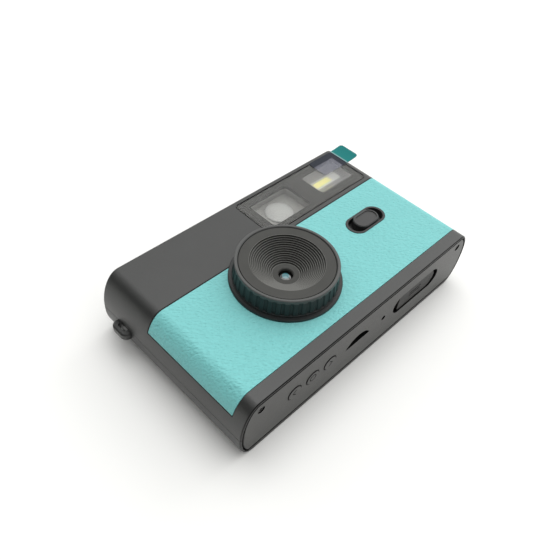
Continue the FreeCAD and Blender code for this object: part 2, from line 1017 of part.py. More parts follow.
def lens_holder():
    """Square foot on the board round the sensor, with a round tower for the tube."""
    top = board_front + holder_height
    centre = (lens_x, lens_y)
    foot_top = board_front + holder_base_height
    foot = slab("front", centre, (holder_base, holder_base), soft_corner, board_front, foot_top)
    tower = rod(tube_radius + holder_wall, V(lens_x, lens_y, board_front), V(lens_x, lens_y, top))
    bore = rod(tube_radius + fit, V(lens_x, lens_y, foot_top), V(lens_x, lens_y, top + past))
    room = sensor_size + sensor_room
    cell = slab("front", centre, (room, room), small_corner, board_front - past, foot_top + fit)
    return foot.fuse(tower).cut([bore, cell])


def image_sensor():
    size = (sensor_size, sensor_size)
    return slab("front", (lens_x, lens_y), size, small_corner, board_front, board_front + sensor_height)


def window_panel():
    size = (panel_width, panel_height)
    return slab("front", (panel_x, panel_y), size, panel_corner, panel_back, panel_top)


def panel_mask():
    """Dark print behind the clear panel, open at the two windows."""
    size = (panel_width, panel_height)
    top = mask_back + mask_thickness
    sheet = slab("front", (panel_x, panel_y), size, panel_corner, mask_back, top)
    openings = []
    for x, y, width, height in finder_and_flash():
        openings.append(panel_window(x, y, width, height, mask_back - past, top + past, 0))
    return sheet.cut(openings)


def protective_film():
    size = (panel_width - 2 * film_margin, panel_height - 2 * film_margin)
    low = film_top - film_thickness
    return slab("front", (panel_x, panel_y), size, panel_corner, low, film_top)


def film_tail():
    """Tinted end of the pull tab, stuck on the film over a corner of the flash window."""
    centre = (tab_root_x - tail_length / 2, tab_y)
    size = (tail_length, tab_width)
    return slab("front", centre, size, tail_corner, tab_low, tab_low + tail_thickness)


def pull_tab():
    """Free end of the tab, which curls up a little past the end of the camera."""
    low = tab_low
    high = low + tab_thickness
    turn = tab_length / tab_bend_radius
    crown = V(tab_root_x, 0, low + tab_bend_radius)

    def bent(radius, angle):
        return V(crown.x + radius * math.sin(angle), 0, crown.z - radius * math.cos(angle))

    inner = tab_bend_radius - (high - low)
    outer = tab_bend_radius
    edges = [
        Part.Arc(bent(outer, 0), bent(outer, turn / 2), bent(outer, turn)).toShape(),
        Part.LineSegment(bent(outer, turn), bent(inner, turn)).toShape(),
        Part.Arc(bent(inner, turn), bent(inner, turn / 2), bent(inner, 0)).toShape(),
        Part.LineSegment(bent(inner, 0), bent(outer, 0)).toShape(),
    ]
    sheet = Part.Face(Part.Wire(edges))
    sheet.translate(V(0, tab_y - tab_width / 2, 0))
    sheet = sheet.extrude(V(0, tab_width, 0))
    reach = bent(outer, turn).x - tab_root_x
    outline_size = (2 * reach, tab_width)
    outline = slab("front", (tab_root_x, tab_y), outline_size, tab_corner, low - past, low + tab_length)
    return sheet.common(outline)


def finder_well_floor():
    return body_depth - finder_well_depth


def finder_objective():
    """Round domed front lens, at the bottom of the well behind the window."""
    low = finder_well_floor() - objective_seat
    top = low + objective_thickness
    blank = rod(objective_radius, V(finder_x, finder_y, low), V(finder_x, finder_y, top))
    ball = Part.makeSphere(objective_curve, V(finder_x, finder_y, top - objective_curve))
    return blank.common(ball)


def cone(low_radius, high_radius, z):
    """Upright cone about the viewfinder's axis."""
    base = V(finder_x, finder_y, z[0])
    return Part.makeCone(low_radius, high_radius, z[1] - z[0], base)


def finder_tunnel():
    """Well behind the window, a round seat in its floor and a funnel to the eyepiece."""
    centre = (finder_x, finder_y)
    view = (finder_width, finder_height)
    well_top = front_inside - fit
    well_floor = finder_well_floor()
    well_low = well_floor - objective_seat - tunnel_wall
    well_size = (view[0] + 2 * tunnel_wall, view[1] + 2 * tunnel_wall)
    rim_size = (well_size[0] + 2 * tunnel_rim, well_size[1] + 2 * tunnel_rim)
    eye_room = (eyepiece_width + 2 * fit, eyepiece_height + 2 * fit)
    eye_size = (eye_room[0] + 2 * tunnel_wall, eye_room[1] + 2 * tunnel_wall)
    eye_view = (eyepiece_width - 2 * eyepiece_ledge, eyepiece_height - 2 * eyepiece_ledge)
    back_low = wall + fit
    eye_top = back_low + eyepiece_thickness + fit
    rear_top = eye_top + tunnel_wall
    wide = objective_radius - objective_ledge
    narrow = eye_view[1] / 2
    seat_low = V(finder_x, finder_y, well_floor - objective_seat)
    outside = [
        slab("front", centre, eye_size, eyepiece_corner, back_low, rear_top),
        cone(narrow + tunnel_wall, wide + tunnel_wall, (back_low + tunnel_wall, well_low)),
        slab("front", centre, well_size, window_corner, well_low, well_top),
        slab("front", centre, rim_size, window_corner, well_top - tunnel_rim_height, well_top),
    ]
    seat_high = V(finder_x, finder_y, well_floor + past)
    inside = [
        slab("front", centre, eye_room, eyepiece_corner, back_low - past, eye_top),
        slab("front", centre, eye_view, eyepiece_corner, eye_top - past, rear_top - tunnel_wall / 2),
        cone(narrow, wide, (eye_top, seat_low.z)),
        rod(objective_radius + fit, seat_low, seat_high),
        slab("front", centre, view, window_corner, well_floor, well_top + past),
    ]
    return joined(outside).cut(inside)


def finder_eyepiece():
    size = (eyepiece_width, eyepiece_height)
    low = wall + fit
    high = low + eyepiece_thickness
    lens = slab("front", (finder_x, finder_y), size, eyepiece_corner, low, high)
    curve = eyepiece_curve
    ball = Part.makeSphere(curve, V(finder_x, finder_y, high - curve))
    return lens.common(ball)


def flash_diffuser():
    """Clear plate with straight prism lines on its inner side."""
    top = pocket_floor - seat_gap
    low = front_inside
    plate_shape = panel_window(flash_x, flash_y, flash_width, flash_height, low, top, window_ledge)
    lines = []
    span = (flash_width + 2 * window_ledge) / 2
    count = int(flash_height / diffuser_line_pitch)
    for index in range(count):
        y = flash_y + (index - (count - 1) / 2) * diffuser_line_pitch
        half = diffuser_line_pitch * diffuser_line_share / 2
        x = flash_x - span - past
        corners = [
            V(x, y - half, low),
            V(x, y, low + diffuser_line_depth),
            V(x, y + half, low),
        ]
        wedge = Part.Face(Part.makePolygon(corners + [corners[0]]))
        lines.append(wedge.extrude(V(2 * (span + past), 0, 0)))
    return plate_shape.cut(lines)


def strip_floor():
    return led_top - led_height - flash_strip_height


def flash_board():
    top = strip_floor()
    size = (flash_width + 2 * window_ledge + 2 * reflector_wall, flash_height + 2 * reflector_wall)
    return slab("front", (flash_x, flash_y), size, window_corner, top - flash_board_thickness, top)


def flash_base():
    """White carrier strip of the light."""
    low = strip_floor()
    size = (flash_strip_length, flash_strip_width)
    return slab("front", (flash_x, flash_y), size, small_corner, low, low + flash_strip_height)


def flash_emitter():
    size = (led_length, led_width)
    centre = (flash_x - led_shift, flash_y)
    return slab("front", centre, size, small_corner, led_top - led_height, led_top)


def flash_reflector():
    """Flared frame round the light strip, up to the front wall."""
    low = strip_floor()
    high = front_inside - fit
    centre = (flash_x, flash_y)
    base = (flash_strip_length + 2 * strip_room, flash_strip_width + 2 * strip_room)
    mouth = (flash_width, flash_height)
    outer = (mouth[0] + 2 * reflector_wall, mouth[1] + 2 * reflector_wall)
    body = slab("front", centre, outer, window_corner, low, high)
    room = funnel("front", centre, (base, small_corner, low), (mouth, window_corner, high))
    return body.cut(room)


def main_board():
    """Board behind the front wall, with a tower up to the shutter switch."""
    low = board_back
    width = 2 * board_half_width
    centre_y = (board_low + board_high) / 2
    size = (width, board_high - board_low)
    base = slab("front", (0, centre_y), size, board_corner, low, board_front)
    tower_centre = (board_tower_x - board_tower_width / 2, (board_low + board_tower_high) / 2)
    tower_size = (board_tower_width, board_tower_high - board_low)
    tower = slab("front", tower_centre, tower_size, board_corner, low, board_front)
    holes = []
    for x, y in post_places():
        holes.append(rod(screw_shank_radius + fit, V(x, y, low - past), V(x, y, board_front + past)))
    return base.fuse(tower).removeSplitter().cut(holes)


def board_screws():
    screws = []
    for x, y in post_places():
        head_low = V(x, y, board_back - screw_head_height)
        head_seat = V(x, y, board_back)
        tip = V(x, y, board_front + board_screw_length)
        head = rod(screw_head_radius, head_low, head_seat)
        shank = rod(screw_shank_radius, head_seat - V(0, 0, overlap), tip)
        screws.append(head.fuse(shank).cut(cross_drive(head_low, V(0, 0, 1))))
    return Part.makeCompound(screws)


def processor_chip():
    size = (chip_size, chip_size)
    return slab("front", (chip_x, chip_y), size, small_corner, board_front, board_front + chip_height)


def power_coil():
    size = (coil_size, coil_size)
    return slab("front", (coil_x, coil_y), size, coil_corner, board_front, board_front + coil_height)


def switch_bezel():
    """Pill-shaped collar in the leatherette that frames the sliding knob."""
    centre = (switch_x, switch_y)
    top = body_depth + bezel_proud
    lip = slab("front", centre, (bezel_length, bezel_width), bezel_width, body_depth, top)
    neck_size = (bezel_length - 2 * bezel_lip, bezel_width - 2 * bezel_lip)
    neck = slab("front", centre, neck_size, bezel_width, front_inside, body_depth)
    slot = slab("front", centre, (slot_length, slot_width), slot_width, front_inside - past, top + past)
    collar = lip.fuse(neck).removeSplitter().cut(slot)
    crown = [e for e in collar.Edges if e.BoundBox.ZMin > top - 1e-6]
    return collar.makeChamfer(bezel_edge, crown)


def switch_knob():
    """Thumb piece, its retaining flange and the stem that takes the lever."""
    centre = (switch_x, switch_y)
    top = body_depth + knob_proud
    flange_high = front_inside - 2 * fit
    flange_low = flange_high - knob_flange_height
    head = slab("front", centre, (knob_length, knob_width), knob_width, flange_low, top)
    crown = [e for e in head.Edges if e.BoundBox.ZMin > top - 1e-6]
    head = head.makeChamfer(knob_edge, crown)
    dish_size = (knob_length - 2 * knob_rim, knob_width - 2 * knob_rim)
    dish = slab("front", centre, dish_size, knob_width, top - knob_dish, top + past)
    flange_size = (knob_flange_length, knob_flange_width)
    flange = slab("front", centre, flange_size, knob_flange_width, flange_low, flange_high)
    stem_low = board_front + switch_body_height + knob_stem_gap
    stem_size = (knob_stem, knob_stem)
    stem = slab("front", centre, stem_size, small_corner, stem_low, flange_low + overlap)
    return head.cut(dish).fuse([flange, stem]).removeSplitter().cut(lever_blank(fit / 2, fit))


def lever_blank(grow, lengthen):
    low = board_front + switch_body_height - lever_sink
    high = board_front + switch_body_height + lever_rise + lengthen
    size = (lever_size + 2 * grow, lever_size + 2 * grow)
    return slab("front", (switch_x, switch_y), size, least_corner, low, high)


def switch_lever():
    return lever_blank(0, 0)


def switch_body():
    """Slide switch on the board, with a slot for its lever's travel."""
    high = board_front + switch_body_height
    centre = (switch_x, switch_y)
    case_size = (switch_body_length, switch_body_width)
    case = slab("front", centre, case_size, small_corner, board_front, high)
    slot_size = (lever_size + 2 * (switch_travel + lever_room), lever_size + 2 * fit)
    slot_low = high - lever_sink - fit
    slot = slab("front", centre, slot_size, least_corner, slot_low, high + past)
    return case.cut(slot)


def shutter_button():
    """Round button with a dished, eased top and a flange that keeps it in."""
    top = top_edge + shutter_proud
    flange_top_y = top_inside - flange_gap
    flange_low = flange_top_y - shutter_flange_height
    stem_end = shutter_plunger_top()
    cap = rod(shutter_radius, V(shutter_x, flange_low, row_height), V(shutter_x, top, row_height))
    crown = [e for e in cap.Edges if e.BoundBox.YMin > top - 1e-6]
    cap = cap.makeFillet(shutter_edge, crown)
    ball_y = top - shutter_dish + shutter_dish_radius
    ball = Part.makeSphere(shutter_dish_radius, V(shutter_x, ball_y, row_height))
    flange_radius_here = shutter_radius + shutter_flange
    low = V(shutter_x, flange_low, row_height)
    flange = rod(flange_radius_here, low, V(shutter_x, flange_top_y, row_height))
    stem = rod(shutter_stem_radius, V(shutter_x, stem_end, row_height), low + V(0, overlap, 0))
    return cap.cut(ball).fuse([flange, stem])


def shutter_plunger_top():
    """The stem ends one travel, and a little more, above the switch."""
    return board_tower_high + switch_overhang + shutter_travel + flange_gap


def shutter_plunger():
    top = shutter_plunger_top()
    start = V(shutter_x, top - shutter_plunger_length, row_height)
    return rod(shutter_plunger_radius, start, V(shutter_x, top, row_height))


def push_switch(x, mouth, inward, radius, depth):
    """Side-facing push switch on the board's edge; inward is the way its plunger goes."""
    rear = mouth + inward * push_switch_depth
    y = (min(mouth, rear), max(mouth, rear))
    z = (board_front, board_front + push_switch_height)
    case = block(spread(x, push_switch_width), y, z)
    start = V(x, mouth - inward * past, row_height)
    bore = rod(radius + fit, start, V(x, mouth + inward * depth, row_height))
    return case.cut(bore)


def shutter_switch():
    mouth = board_tower_high + switch_overhang
    depth = shutter_plunger_length + fit
    return push_switch(shutter_x, mouth, -1, shutter_plunger_radius, depth)


def key_button(x):
    """Round key, a little proud, with a flange behind the plate and a short stem."""
    face = bottom_edge - key_proud
    flange_low = bottom_inside + flange_gap
    flange_high = flange_low + key_flange_height
    cap = rod(key_radius, V(x, face, row_height), V(x, flange_high, row_height))
    crown = [e for e in cap.Edges if e.BoundBox.YMax < face + 1e-6]
    cap = cap.makeFillet(key_edge, crown)
    flange = rod(key_radius + key_flange, V(x, flange_low, row_height), V(x, flange_high, row_height))
    stem_end = V(x, flange_high + key_stem_length, row_height)
    stem = rod(key_stem_radius, V(x, flange_high - overlap, row_height), stem_end)
    return cap.fuse([flange, stem])


def key_stem_end():
    return bottom_inside + flange_gap + key_flange_height + key_stem_length


def key_plunger(x):
    start = V(x, key_stem_end(), row_height)
    return rod(plunger_radius, start, start + V(0, plunger_length, 0))


def key_switches():
    mouth = key_stem_end() + key_travel + fit
    places = key_places()
    switches = [push_switch(x, mouth, 1, plunger_radius, plunger_bore_depth) for x in places]
    return Part.makeCompound(switches)


def port_front():
    return bottom_edge + recess_depth + recess_wall + port_setback


def charging_port():
    """Metal shell of the port, open towards the recess."""
    centre = (recess_x, row_height)
    front = port_front()
    back = front + port_length
    size = (port_width, port_height)
    room = (port_width - 2 * port_shell, port_height - 2 * port_shell)
    shell = slab("edge", centre, size, port_height, front, back)
    return shell.cut(slab("edge", centre, room, room[1], front - past, back - port_shell))


def port_tongue():
    front = port_front() + port_tongue_setback
    back = port_front() + port_length - port_shell
    size = (port_tongue_width, port_tongue_thickness)
    return slab("edge", (recess_x, row_height), size, small_corner, front, back)


def cover_span():
    """Left end and hinge end of the rubber cover, along X."""
    left = recess_x - recess_length / 2 + cover_nail_gap
    right = recess_x + recess_length / 2 - cover_hinge_gap
    return left, right


def port_cover():
    """Rubber flap with a straight nail end, a round end with its hinge bead, and a plug."""
    left, right = cover_span()
    width = recess_width - 2 * cover_side_gap
    face = bottom_edge + cover_sink
    back = face + cover_thickness
    long_size = (2 * (right - left), width)
    pill = slab("edge", (left, row_height), long_size, width, face, back)
    keep_size = (2 * (right - left), width)
    keep = slab("edge", (right, row_height), keep_size, cover_corner, face - past, back + past)
    flap = pill.common(keep)
    plug_size = (port_width - 2 * port_shell - 2 * plug_gap, port_height - 2 * port_shell - plug_gap)
    plug = slab("edge", (recess_x, row_height), plug_size, plug_size[1], back - overlap, back + plug_depth)
    groove_size = (cover_groove_length, cover_groove_width)
    grooves = []
    for side in (-1, 1):
        place = (recess_x, row_height + side * cover_groove_pitch / 2)
        deep = face + cover_groove_depth
        grooves.append(slab("edge", place, groove_size, cover_groove_width, face - past, deep))
    bead = rod(
        hinge_bead_radius,
        V(right, face + hinge_bead_radius, row_height - hinge_bead_length / 2),
        V(right, face + hinge_bead_radius, row_height + hinge_bead_length / 2),
    )
    return flap.fuse([plug, bead]).cut(grooves)


def port_cover_anchor():
    """Fixed end of the rubber cover, a crescent on the recess floor past the hinge line."""
    left, right = cover_span()
    floor = bottom_edge + recess_depth
    size = (recess_length - 2 * fit, recess_width - 2 * fit)
    low = floor - anchor_thickness
    whole = slab("edge", (recess_x, row_height), size, size[1], low, floor)
    x = (right + running, right + recess_length)
    z = (row_height - recess_width, row_height + recess_width)
    return whole.common(block(x, (low - past, floor + past), z))


def card_socket():
    """Folded metal housing on the board that takes the memory card."""
    y = (bottom_inside + flange_gap, bottom_inside + flange_gap + socket_length)
    x = spread(card_x, socket_width)
    case = block(x, y, (board_front, board_front + socket_height))
    room_z = (board_front + socket_floor, board_front + socket_height - socket_roof)
    room_y = (y[0] - past, y[1] - socket_side)
    room = block(spread(card_x, socket_width - 2 * socket_side), room_y, room_z)
    return case.cut(room)


def microphone():
    start = V(microphone_x, bottom_inside + flange_gap, row_height)
    return rod(microphone_radius, start, start + V(0, microphone_length, 0))


def battery():
    """Soft-edged flat cell with its folded seam end."""
    low = wall + pad_thickness
    size = (battery_length, battery_width)
    top = low + battery_thickness
    cell = slab("front", (battery_x, battery_y), size, battery_corner, low, top)
    ends = [e for e in cell.Edges if e.BoundBox.ZLength < 1e-6]
    return cell.makeChamfer(battery_edge, ends)


def battery_pads():
    pads = []
    for side in (-1, 1):
        y = battery_y + side * battery_width / 4
        pad_size = (pad_length, pad_width)
        pads.append(slab("front", (battery_x, y), pad_size, small_corner, wall, wall + pad_thickness))
    return Part.makeCompound(pads)


def battery_leads():
    """Two insulated wires from the cell's end to the back of the board."""
    leads = []
    start_x = battery_x + battery_length / 2 + seat_gap
    level = wall + pad_thickness + battery_thickness / 2
    for side in (-1, 1):
        y = battery_y + side * lead_spacing / 2
        run_end = start_x + lead_reach
        slant = lead_bend * (1 - math.sqrt(0.5))
        turn_start = V(run_end - lead_bend, y, level)
        turn_middle = V(run_end - slant, y, level + slant)
        turn_end = V(run_end, y, level + lead_bend)
        edges = [
            Part.LineSegment(V(start_x, y, level), turn_start).toShape(),
            Part.Arc(turn_start, turn_middle, turn_end).toShape(),
            Part.LineSegment(turn_end, V(run_end, y, board_back)).toShape(),
        ]
        path = Part.Wire(edges)
        section = Part.Wire([Part.Circle(V(start_x, y, level), V(1, 0, 0), lead_radius).toShape()])
        leads.append(path.makePipeShell([section], True, False))
    return Part.makeCompound(leads)


def counter_window():
    low = counter_window_sink
    grow = counter_ledge - fit
    size = (counter_width + 2 * grow, counter_height + 2 * grow)
    high = low + counter_window_thickness
    return slab("front", (counter_x, counter_y), size, counter_corner, low, high)


def counter_display():
    size = (counter_width + 2 * display_margin, counter_height + 2 * display_margin)
    return slab("front", (counter_x, counter_y), size, small_corner, wall, wall + display_thickness)


def status_light():
    """Light guide with a collar on the inner side of the back."""
    stem = rod(light_radius, V(light_x, light_y, light_sink), V(light_x, light_y, light_length))
    collar_low = V(light_x, light_y, wall)
    collar = rod(light_radius + light_collar, collar_low, V(light_x, light_y, wall + light_head))
    return stem.fuse(collar)


def flash_ribbon():
    """Flat cable from the flash board down to the main board."""
    top = strip_floor() - flash_board_thickness
    reach = flash_y - ribbon_setback
    low = board_front
    x = spread(flash_x - ribbon_shift, ribbon_width)
    foot_y = (board_high - ribbon_setback - ribbon_foot, board_high - ribbon_setback)
    foot = block(x, foot_y, (low, low + ribbon_thickness))
    riser = block(x, (foot_y[1] - ribbon_thickness, foot_y[1]), (low, top))
    run = block(x, (foot_y[1] - ribbon_thickness, reach), (top - ribbon_thickness, top))
    return joined([foot, riser, run])


def parts():
    """Every piece under the name of its node."""
    pieces = {
        "front_shell": front_shell(),
        "back_cover": back_cover(),
        "bottom_plate": bottom_plate(),
        "top_plate": top_plate(),
        "bottom_screws": plate_screws(-1),
        "top_screws": plate_screws(1),
        "leatherette": leatherette(),
        "lens_base": lens_base(),
        "lens_ring": lens_ring(),
        "cone_baffle": cone_baffle(),
        "front_glass": front_glass(),
        "rear_glass": rear_glass(),
        "lens_tube": lens_tube(),
        "lens_holder": lens_holder(),
        "image_sensor": image_sensor(),
        "window_panel": window_panel(),
        "panel_mask": panel_mask(),
        "protective_film": protective_film(),
        "film_tail": film_tail(),
        "pull_tab": pull_tab(),
        "finder_objective": finder_objective(),
        "finder_tunnel": finder_tunnel(),
        "finder_eyepiece": finder_eyepiece(),
        "flash_diffuser": flash_diffuser(),
        "flash_reflector": flash_reflector(),
        "flash_base": flash_base(),
        "flash_emitter": flash_emitter(),
        "flash_board": flash_board(),
        "flash_ribbon": flash_ribbon(),
        "main_board": main_board(),
        "board_screws": board_screws(),
        "processor_chip": processor_chip(),
        "power_coil": power_coil(),
        "switch_bezel": switch_bezel(),
        "switch_knob": switch_knob(),
        "switch_lever": switch_lever(),
        "switch_body": switch_body(),
        "shutter_button": shutter_button(),
        "shutter_plunger": shutter_plunger(),
        "shutter_switch": shutter_switch(),
        "key_switches": key_switches(),
        "charging_port": charging_port(),
        "port_tongue": port_tongue(),
        "port_cover": port_cover(),
        "port_cover_anchor": port_cover_anchor(),
        "card_socket": card_socket(),
        "microphone": microphone(),
        "battery": battery(),
        "battery_pads": battery_pads(),
        "battery_leads": battery_leads(),
        "counter_window": counter_window(),
        "counter_display": counter_display(),
        "status_light": status_light(),
    }
    for name, x in zip(("left", "middle", "right"), key_places()):
        pieces["key_button_" + name] = key_button(x)
        pieces["key_plunger_" + name] = key_plunger(x)
    return pieces


os.makedirs("parts", exist_ok=True)
for node, shape in parts().items():
    shape.exportStep("parts/" + node + ".step")
    print(node, len(shape.Solids), shape.isValid(), round(shape.Volume, 2))
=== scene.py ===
"""Looks of a compact viewfinder camera that lies on its back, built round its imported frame.

Lengths are metres in the frame's axes: X along the body, Y towards the top face, Z out of the lens.
"""

import json
import math

import bpy
from mathutils import Matrix, Vector

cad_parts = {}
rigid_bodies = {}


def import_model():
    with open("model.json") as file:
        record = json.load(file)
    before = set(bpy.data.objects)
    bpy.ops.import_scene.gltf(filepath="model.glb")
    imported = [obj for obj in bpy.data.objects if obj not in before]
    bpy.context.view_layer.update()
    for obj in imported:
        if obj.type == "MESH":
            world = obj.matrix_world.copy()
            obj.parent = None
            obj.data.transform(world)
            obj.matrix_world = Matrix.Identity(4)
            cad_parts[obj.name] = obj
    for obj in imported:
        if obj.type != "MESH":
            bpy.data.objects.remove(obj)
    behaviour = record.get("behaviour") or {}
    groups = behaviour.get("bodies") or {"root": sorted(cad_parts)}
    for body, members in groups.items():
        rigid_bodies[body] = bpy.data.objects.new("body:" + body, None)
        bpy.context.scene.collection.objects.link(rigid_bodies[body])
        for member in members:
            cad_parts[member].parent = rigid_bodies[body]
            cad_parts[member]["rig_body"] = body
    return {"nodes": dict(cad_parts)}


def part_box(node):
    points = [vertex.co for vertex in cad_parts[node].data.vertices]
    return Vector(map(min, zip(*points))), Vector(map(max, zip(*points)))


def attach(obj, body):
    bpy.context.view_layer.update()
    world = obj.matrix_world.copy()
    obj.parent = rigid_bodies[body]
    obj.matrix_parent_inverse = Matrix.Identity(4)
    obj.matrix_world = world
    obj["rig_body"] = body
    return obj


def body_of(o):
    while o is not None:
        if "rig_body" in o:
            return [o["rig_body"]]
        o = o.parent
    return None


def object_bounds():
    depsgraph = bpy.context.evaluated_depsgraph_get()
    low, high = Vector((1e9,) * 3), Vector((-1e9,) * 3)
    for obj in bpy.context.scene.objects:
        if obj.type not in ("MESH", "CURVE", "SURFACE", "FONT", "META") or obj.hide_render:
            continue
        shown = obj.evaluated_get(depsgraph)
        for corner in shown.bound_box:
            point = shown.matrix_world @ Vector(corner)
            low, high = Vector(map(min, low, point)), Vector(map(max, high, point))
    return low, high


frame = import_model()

MM = 0.001
cad_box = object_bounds()


def colour(red, green, blue):
    """Opaque colour from its linear channels."""
    return (red, green, blue, 1.0)


# Camera, as the photograph was taken

azimuth = -50.695
elevation = 47.462
roll = 7.523
target = Vector((3.372, 9.892, 0.584)) * MM
distance = 228.59 * MM
focal_length = 38.213
sensor_width = 36.0
nearest_seen = 10 * MM
farthest_seen = 20.0

# Light: a broad lamp overhead, a weak one at the side, and a sky brightest round one direction

key_strength = 11.5
key_size = 1600 * MM
key_place = Vector((350, 200, 1800)) * MM
side_strength = 3.2
side_size = 900 * MM
side_place = Vector((1420, 80, 1080)) * MM
sky_tone = colour(1.0, 1.0, 0.99)
sky_low = 0.05
sky_high = 1.14
sky_start = -0.05
sky_full = 0.75
sky_lean = Vector((0.50, 0.15, 0.85)).normalized()
floor_tone = colour(0.93, 0.93, 0.915)
floor_size = 6.0

# Grain: fine noise, with patches of tone that are a number of times wider

grain_detail = 4.0
usual_swing = 0.06
patch_ratio = 22
patch_detail = 3.0
patch_limits = (0.3, 0.7)

# Wrinkles and patches of tone in the skin

wrinkle_size = Vector((1.3, 0.65, 0.75)) * MM
wrinkle_turn = math.radians(-32)
wrinkle_detail = 2.5
wrinkle_twist = 0.9
wrinkle_depth = 0.5 * MM
wrinkle_strength = 0.6
pebble_softness = 0.8
patches_per_metre = 45.0
leather_patch_detail = 2.0
leather_swing = 0.03

# Sizes of edges, steps and rims; no_limit lies past every face, and edge_turn is how far a normal
# points along the axis where a chamfer ends

no_limit = 1.0
edge_turn = 0.97
leather_edge = 0.25 * MM
panel_border = 0.2 * MM
rim_depth = 0.3 * MM
lip_height = 1.5 * MM
crease_width = 0.5 * MM
cone_floor_radius = 4.54 * MM
cone_mouth_radius = 12.35 * MM
cone_slack = 0.1 * MM
cone_steps = 13
step_edge = 0.3
lens_steps = (5.6 * MM, 6.9 * MM)
lens_step_width = 0.4 * MM
lens_step_height = 0.25 * MM

# Shares: haze is how far a clear piece scatters light, cover how far a film hides what is below it

lens_haze = 0.17
middle_haze = 0.5
eyepiece_haze = 0.08
diffuser_haze = 0.04
# cover_on_print and cover_on_window: how far the painted reflection of the tab hides what is below
# it
cover_on_print = 0.9
cover_on_window = 0.25
cover_of_film = 0.03
# shares of each glass's radius that show its painted reflection
front_reflection_share = 0.36
rear_reflection_share = 0.9

# Key marks, drawn round the centre of each key

mark_size = 1.3 * MM
mark_line = 0.35 * MM
mark_height = 0.04 * MM
angle_tip = 0.7 * mark_size
angle_end = 0.4 * mark_size
ring_corners = 32

# Tones, linear light

shell_tone = colour(0.020, 0.021, 0.020)
plate_tone = colour(0.028, 0.028, 0.025)
leather_tone = colour(0.195, 0.565, 0.56)
# painted reflection of the raised tab, on the dark print and over the flash window
reflection_on_print_tone = colour(0.006, 0.011, 0.024)
reflection_on_window_tone = colour(0.30, 0.31, 0.38)
teal_tone = colour(0.001, 0.18, 0.175)
crease_tone = colour(0.25, 0.42, 0.42)
ring_tone = colour(0.011, 0.0135, 0.0135)
# painted highlight on the lens ring's lip
painted_lip_highlight = colour(0.07, 0.072, 0.07)
cone_tone = colour(0.07, 0.07, 0.066)
# painted highlight on the baffle's steps
painted_step_highlight = colour(0.19, 0.19, 0.18)
# painted shade for gaps and edges, and round a glass's painted reflection
painted_shade_tone = colour(0.004, 0.004, 0.004)
ink_tone = colour(0.006, 0.006, 0.006)
no_tint = colour(1.0, 1.0, 1.0)
# gloss that is left in painted shade
painted_shade_gloss = colour(0.15, 0.15, 0.15)
# painted reflection of the lens coating, as base colour
painted_coating_reflection = colour(0.04, 0.17, 0.20)
lens_clear = colour(0.97, 0.98, 0.98)
panel_clear = colour(0.95, 0.95, 0.93)
diffuser_clear = colour(0.95, 0.95, 0.96)
film_tone = colour(0.7, 0.7, 0.69)
smoke_tone = colour(0.015, 0.015, 0.018)
# painted glow of the flash phosphor
painted_glow_tone = colour(1.0, 0.95, 0.35)

# Plain finishes: name, tone, roughness, size and depth of the grain in mm, further settings, pieces

plain_finishes = (
    ("lens_plastic", ring_tone, 0.45, 0.3, 0.03, {}, ("lens_tube", "lens_base")),
    ("knob_plastic", colour(0.032, 0.032, 0.032), 0.45, 0.4, 0.03, {}, ("switch_knob",)),
    (
        "dark_plastic", colour(0.02, 0.02, 0.02), 0.5, 0.4, 0.03, {},
        (
            "lens_holder", "processor_chip", "power_coil", "battery_leads", "port_tongue",
            "switch_bezel", "switch_lever", "shutter_plunger", "shutter_switch", "key_switches",
            "key_plunger_left", "key_plunger_middle", "key_plunger_right",
        ),
    ),
    (
        "soft_rubber", colour(0.012, 0.012, 0.011), 0.5, 0.3, 0.03, {"Specular_IOR_Level": 0.35},
        ("port_cover", "port_cover_anchor", "battery_pads"),
    ),
    (
        "plain_steel", colour(0.55, 0.55, 0.55), 0.3, 0.5, 0.01, {"Metallic": 1.0},
        ("board_screws", "switch_body", "charging_port", "card_socket", "microphone"),
    ),
    (
        "black_steel", colour(0.03, 0.03, 0.03), 0.35, 0.4, 0.01, {"Metallic": 0.6},
        ("bottom_screws", "top_screws"),
    ),
    (
        "dark_print", colour(0.02, 0.02, 0.017), 0.5, 3.0, 0.0, {"Specular_IOR_Level": 0.2},
        ("panel_mask",),
    ),
    ("finder_plastic", colour(0.33, 0.33, 0.32), 0.4, 0.8, 0.02, {}, ("finder_tunnel",)),
    ("reflector", colour(0.42, 0.42, 0.44), 0.35, 1.0, 0.01, {}, ("flash_reflector",)),
    # painted light: the white strip and the phosphor glow, though the flash does not fire
    (
        "white_strip", colour(0.85, 0.85, 0.83), 0.45, 0.6, 0.01, {"Emission_Strength": 0.32},
        ("flash_base",),
    ),
    (
        "phosphor", colour(0.90, 0.85, 0.25), 0.5, 0.6, 0.01,
        {"Emission_Color": painted_glow_tone, "Emission_Strength": 0.95},
        ("flash_emitter",),
    ),
    ("solder_mask", colour(0.015, 0.11, 0.05), 0.35, 0.8, 0.01, {}, ("main_board", "flash_board")),
    ("cell_foil", colour(0.6, 0.6, 0.62), 0.35, 1.0, 0.02, {"Metallic": 0.8}, ("battery",)),
    ("ribbon", colour(0.45, 0.2, 0.03), 0.4, 1.0, 0.01, {}, ("flash_ribbon",)),
    ("display", colour(0.30, 0.34, 0.28), 0.4, 1.0, 0.01, {}, ("counter_display",)),
    ("light_guide", colour(0.75, 0.78, 0.72), 0.25, 1.0, 0.01, {"Alpha": 0.6}, ("status_light",)),
)


# Node helpers; made is a material or the world

def material(name, base, roughness, **settings):
    """Principled material; settings are given as socket names with underscores for spaces."""
    made = bpy.data.materials.new(name)
    made.use_nodes = True
    shader = shader_of(made)
    shader.inputs["Base Color"].default_value = base
    shader.inputs["Roughness"].default_value = roughness
    for key, value in settings.items():
        shader.inputs[key.replace("_", " ")].default_value = value
    return made


def shader_of(made):
    return made.node_tree.nodes["Principled BSDF"]


